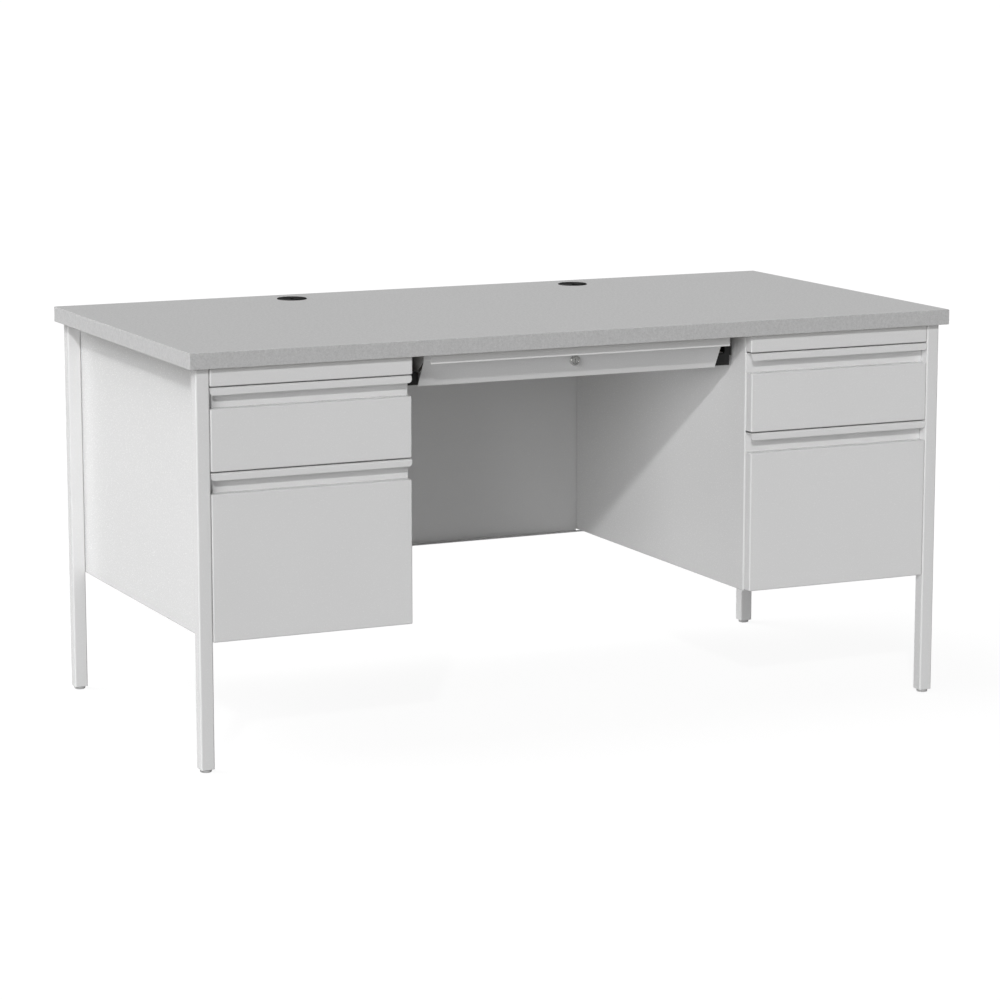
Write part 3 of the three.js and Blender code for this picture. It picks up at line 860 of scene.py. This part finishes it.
class DESK_OT_centre_drawer(BuildOperator, bpy.types.Operator):
    """Builds the centre drawer, its rails and its glide blocks"""
    bl_idname = "desk.centre_drawer"
    bl_label = "Centre drawer"

    def build(self, scene):
        metal = scene.desk_sheet_metal
        steel("centre_drawer_front_sheet", self.front(metal), "centre_drawer", ["centre_drawer_front"])
        steel("centre_drawer_cheeks", self.cheeks(metal), "centre_drawer", sheet=False)
        steel("centre_drawer_tray_sheet", self.tray(metal), "centre_drawer", ["centre_drawer_tray"])
        steel("centre_drawer_tray_ends", self.tray_ends(metal), "centre_drawer")
        steel("centre_drawer_heels", self.heels(metal), "centre_drawer", sheet=False)
        for side, sign in SIDES:
            steel(f"centre_rail_{side}_channel", self.rail(side, sign, metal), "desk_frame",
                  [f"centre_rail_{side}"])
            steel(f"centre_rail_{side}_lip", self.rail_lip(side, sign, metal), "desk_frame", sheet=False)
            block = cad_copy(f"centre_glide_block_{side}", BLOCK_CORNER, 4)
            piece(f"centre_glide_block_{side}_moulding", block, "desk_frame", "black_nylon",
                  [f"centre_glide_block_{side}"])

    def profile(self):
        """The front's outside corners from its bottom flange up to its lip, as (y, z)."""
        low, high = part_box("centre_drawer_front")
        wall, foot = low.y + FRONT_WALL, low.y + FRONT_FOOT
        return [(foot + FRONT_FLANGE, low.z), (foot, low.z), (wall, high.z - FRONT_CREASE), (wall, high.z),
                (low.y, high.z), (low.y, high.z - FRONT_LIP)]

    def front(self, metal):
        """Bottom flange, sloping face, upright wall, top plate and lip as one folded sheet."""
        low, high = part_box("centre_drawer_front")
        thick = metal.thickness
        *face, top, nose, lip = self.profile()
        inside = [(top[0], top[1] - thick), (nose[0] + thick, nose[1] - thick), (lip[0] + thick, lip[1])]
        return folded([Vector((low.x, y, z)) for y, z in face + inside], X * (high.x - low.x),
                      0.6 * metal.bend, -Y)

    def cheeks(self, metal):
        """Plates that close the ends of the sloping front and run back over the runners."""
        low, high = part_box("centre_drawer_front")
        thick = metal.thickness
        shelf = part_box("centre_drawer_tray")[1].z + 0.6 * MM
        (_, floor), (foot, _), (wall, crease), (_, roof) = self.profile()[:4]
        line = [(foot + 2 * MM, floor + thick), (foot + thick, floor + thick), (wall + thick, crease),
                (wall + thick, roof - 2 * thick), (high.y, roof - 2 * thick), (high.y, shelf),
                (foot + 2 * MM, shelf)]
        bm = bmesh.new()
        bmesh.ops.contextual_create(bm, geom=[bm.verts.new((low.x, y, z)) for y, z in line])
        drawn = bmesh.ops.extrude_face_region(bm, geom=bm.faces[:])["geom"]
        bmesh.ops.translate(bm, verts=[g for g in drawn if isinstance(g, bmesh.types.BMVert)],
                            vec=X * thick)
        bmesh.ops.recalc_face_normals(bm, faces=bm.faces)
        round_edges(bm, bends(bm), metal.cut_edge, 2)
        bmesh.ops.mirror(bm, geom=bm.verts[:] + bm.edges[:] + bm.faces[:], axis="X", merge_dist=0)
        bmesh.ops.recalc_face_normals(bm, faces=bm.faces)
        return bm

    def tray(self, metal):
        """Runner, side, floor, side and runner as one folded sheet."""
        low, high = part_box("centre_drawer_tray")
        side, runner, floor = high.x - RUNNER, high.z - metal.thickness, self.floor()
        half = [(side, floor), (side, runner), (high.x, runner)]
        line = [(-x, z) for x, z in reversed(half)] + half
        return folded([Vector((x, low.y, z)) for x, z in line], Y * (high.y - low.y), metal.tight_bend,
                      -Z)

    def floor(self):
        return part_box("centre_drawer_front")[0].z + 1.5 * MM

    def tray_ends(self, metal):
        """Front and back walls of the tray, each with a foot welded to the floor."""
        low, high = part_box("centre_drawer_tray")
        reach = high.x - RUNNER - TRAY_PLAY
        base = self.floor() + metal.thickness + 0.05 * MM
        bm = bmesh.new()
        for wall, inward in ((low.y, 1), (high.y, -1)):
            top = base + metal.thickness
            line = [(wall + inward * TRAY_FOOT, top), (wall, top), (wall, high.z)]
            merge_in(bm, folded([Vector((-reach, y, z)) for y, z in line], X * 2 * reach, metal.tight_bend,
                                -inward * Y))
        return bm

    def heels(self, metal):
        """Tabs turned down from the back ends of the runners."""
        low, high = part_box("centre_drawer_tray")
        bm = bmesh.new()
        for _, sign in SIDES:
            x = sorted((sign * high.x, sign * (high.x - metal.thickness)))
            tab = box_mesh((x[0], high.y - HEEL_LENGTH, low.z + HEEL_BOTTOM),
                           (x[1], high.y, high.z - 0.3 * MM))
            round_edges(tab, bends(tab), metal.cut_edge, 2)
            merge_in(bm, tab)
        return bm

    def rail(self, side, sign, metal):
        """Shelf, web and top flange as one folded sheet."""
        low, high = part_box(f"centre_rail_{side}")
        shelf_end, flange_end = (high.x, low.x) if sign < 0 else (low.x, high.x)
        web = flange_end - sign * RAIL_FLANGE
        roof = high.z - metal.thickness
        line = [(shelf_end, low.z), (web, low.z), (web, roof), (flange_end, roof)]
        return folded([Vector((x, low.y, z)) for x, z in line], Y * (high.y - low.y), metal.tight_bend,
                      sign * X)

    def rail_lip(self, side, sign, metal):
        """The hold-down lip that stands out from the web above the runner."""
        low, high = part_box(f"centre_rail_{side}")
        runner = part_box("centre_drawer_tray")[1]
        web_face = max(abs(low.x), abs(high.x)) - RAIL_FLANGE - metal.thickness
        x = sorted((sign * (runner.x - HOLD_DOWN_REACH), sign * web_face))
        z = runner.z + HOLD_DOWN
        lip = box_mesh((x[0], low.y + 40 * MM, z), (x[1], high.y - 10 * MM, z + metal.thickness))
        round_edges(lip, bends(lip), metal.cut_edge, 2)
        return lip


BEZEL_SHOULDER = 2.4 * MM  # from the bezel's face back to its shoulder
BEZEL_RIM = 1.75 * MM  # from the barrel out to the bezel's rim
BARREL_WALL = 2.2 * MM
EDGE_EASE = 0.5 * MM


class DESK_OT_lock(BuildOperator, bpy.types.Operator):
    """Builds the lock of the centre drawer and its strike"""
    bl_idname = "desk.lock"
    bl_label = "Lock"

    def build(self, scene):
        low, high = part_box("lock_body")
        radius = (high.x - low.x) / 2
        centre = Vector(((low.x + high.x) / 2, low.y, (low.z + high.z) / 2))
        depth = high.y - low.y
        barrel = radius - BEZEL_RIM
        bore = barrel - BARREL_WALL
        crown = [(radius - 1.2 * MM, 0.15 * MM), (radius - EDGE_EASE, 0.6 * MM), (radius, 1.4 * MM)]
        profile = [(bore, EDGE_EASE), (bore + 0.3 * MM, 0), (radius - BEZEL_SHOULDER, 0), *crown,
                   (radius, BEZEL_SHOULDER), (barrel, BEZEL_SHOULDER), (barrel, depth), (bore, depth),
                   (bore, EDGE_EASE)]
        piece("lock_bezel", turned(profile, centre, Y, 64), "centre_drawer", "nickel_plate", ["lock_body"])
        for name, node, edge, body, slot in (
                ("lock_plug_cylinder", "lock_plug", 0.2 * MM, "lock_barrel", "nickel_plate"),
                ("lock_cam_plate", "lock_cam", 0.25 * MM, "lock_barrel", "zinc_plate"),
                ("lock_strike_plate", "lock_strike", 0.25 * MM, "desk_frame", "zinc_plate")):
            piece(name, cad_copy(node, edge), body, slot, [node])


# ---------------------------------------------------------------- stage

FLOOR_REACH = 60
FLOOR_SINK = 0.2 * MM  # keeps the floor clear of the glides
PAPER_GLOW = 0.92  # brightness of the paper as the camera sees it
PAPER_TONE = 0.12  # share of the lamps' light that the paper shows, with its shadows
BACKDROP = 1.05


class DESK_OT_stage(BuildOperator, bpy.types.Operator):
    """Builds the floor, the lights and the camera"""
    bl_idname = "desk.stage"
    bl_label = "Stage"

    def build(self, scene):
        studio = scene.desk_studio
        scene.view_settings.view_transform = "Standard"
        self.camera(scene, studio)
        self.floor(scene, studio)
        self.world(scene, studio)
        for name, strength, across, to_desk in (
                ("key_light", studio.key, 2.6, (0.817, 1.427, -1)),
                ("front_soft_box", studio.front, 36, (0.76, 0.64, -0.09)),
                ("rear_soft_box", studio.rear, 50, (0.87, -0.5, -1.19)),
                ("overhead_soft_box", studio.top, 60, (0, 0, -1))):
            lamp = bpy.data.lights.new(name, "SUN")
            lamp.energy = strength
            lamp.angle = math.radians(across)
            holder = bpy.data.objects.new(name, lamp)
            holder.rotation_euler = (-Vector(to_desk)).to_track_quat("Z", "Y").to_euler()
            scene.collection.objects.link(holder)

    def camera(self, scene, studio):
        data = bpy.data.cameras.new("camera")
        data.lens = studio.lens
        data.clip_end = 200
        camera = bpy.data.objects.new("camera", data)
        camera.location = studio.camera_place
        camera.rotation_euler = Euler((math.pi / 2 - studio.tilt, 0, -studio.heading))
        scene.collection.objects.link(camera)
        scene.camera = camera

    def floor(self, scene, studio):
        bm = bmesh.new()
        bmesh.ops.create_grid(bm, x_segments=1, y_segments=1, size=FLOOR_REACH)
        mesh = bpy.data.meshes.new("studio_floor")
        bm.to_mesh(mesh)
        bm.free()
        floor = bpy.data.objects.new("studio_floor", mesh)
        floor.location.z = -FLOOR_SINK
        scene.collection.objects.link(floor)
        paper = bpy.data.materials.new("studio_paper")
        paper.use_nodes = True
        tree = paper.node_tree
        tree.nodes.clear()
        plain = add_node(tree, "ShaderNodeEmission", {"Color": WHITE, "Strength": studio.floor}).outputs[0]
        glow = add_node(tree, "ShaderNodeEmission", {"Color": WHITE, "Strength": PAPER_GLOW}).outputs[0]
        lit = add_node(tree, "ShaderNodeBsdfDiffuse", {"Color": colour([PAPER_TONE] * 3)}).outputs[0]
        seen = add_node(tree, "ShaderNodeAddShader", {0: glow, 1: lit}).outputs[0]
        camera_ray = add_node(tree, "ShaderNodeLightPath").outputs["Is Camera Ray"]
        shade(tree, add_node(tree, "ShaderNodeMixShader", {0: camera_ray, 1: plain, 2: seen}))
        mesh.materials.append(paper)

    def world(self, scene, studio):
        """White behind the desk, dim grey walls in its gloss, and no light on its matt surfaces."""
        world = bpy.data.worlds.new("studio")
        world.use_nodes = True
        tree = world.node_tree
        tree.nodes.clear()
        path = add_node(tree, "ShaderNodeLightPath").outputs
        dark, walls, white = (
            add_node(tree, "ShaderNodeBackground", {"Color": WHITE, "Strength": strength}).outputs[0]
            for strength in (0, studio.sheen, BACKDROP))
        glossy = add_node(tree, "ShaderNodeMixShader", {0: path["Is Glossy Ray"], 1: dark, 2: walls})
        seen = add_node(tree, "ShaderNodeMixShader", {
            0: path["Is Camera Ray"], 1: glossy.outputs[0], 2: white,
        })
        tree.links.new(seen.outputs[0], add_node(tree, "ShaderNodeOutputWorld").inputs["Surface"])
        scene.world = world


# ---------------------------------------------------------------- add-on

class DESK_PT_panel(bpy.types.Panel):
    """Lists the desk's pieces and sizes"""
    bl_idname = "DESK_PT_panel"
    bl_label = "Teacher desk"
    bl_space_type = "VIEW_3D"
    bl_region_type = "UI"
    bl_category = "Teacher desk"

    def draw(self, context):
        for operator in OPERATORS:
            self.layout.operator(operator.bl_idname)
        for name in GROUPS:
            settings = getattr(context.scene, name)
            box = self.layout.box()
            for key in settings.bl_rna.properties.keys():
                if key not in ("rna_type", "name"):
                    box.prop(settings, key)


GROUPS = {
    "desk_sheet_metal": DeskSheetMetal,
    "desk_top": DeskTop,
    "desk_colours": DeskColours,
    "desk_studio": DeskStudio,
}
OPERATORS = (
    DESK_OT_stage,
    DESK_OT_worktop,
    DESK_OT_grommets,
    DESK_OT_legs,
    DESK_OT_pedestals,
    DESK_OT_modesty_panel,
    DESK_OT_drawer_fronts,
    DESK_OT_drawer_boxes,
    DESK_OT_slides,
    DESK_OT_centre_drawer,
    DESK_OT_lock,
)
CLASSES = (*GROUPS.values(), *OPERATORS, DESK_PT_panel)


def register():
    for cls in CLASSES:
        bpy.utils.register_class(cls)
    for name, cls in GROUPS.items():
        setattr(bpy.types.Scene, name, PointerProperty(type=cls))


def unregister():
    for name in GROUPS:
        delattr(bpy.types.Scene, name)
    for cls in reversed(CLASSES):
        bpy.utils.unregister_class(cls)


def main():
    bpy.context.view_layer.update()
    register()
    for operator in OPERATORS:
        getattr(bpy.ops.desk, operator.bl_idname.split(".")[1])()


if __name__ == "__main__":
    main()
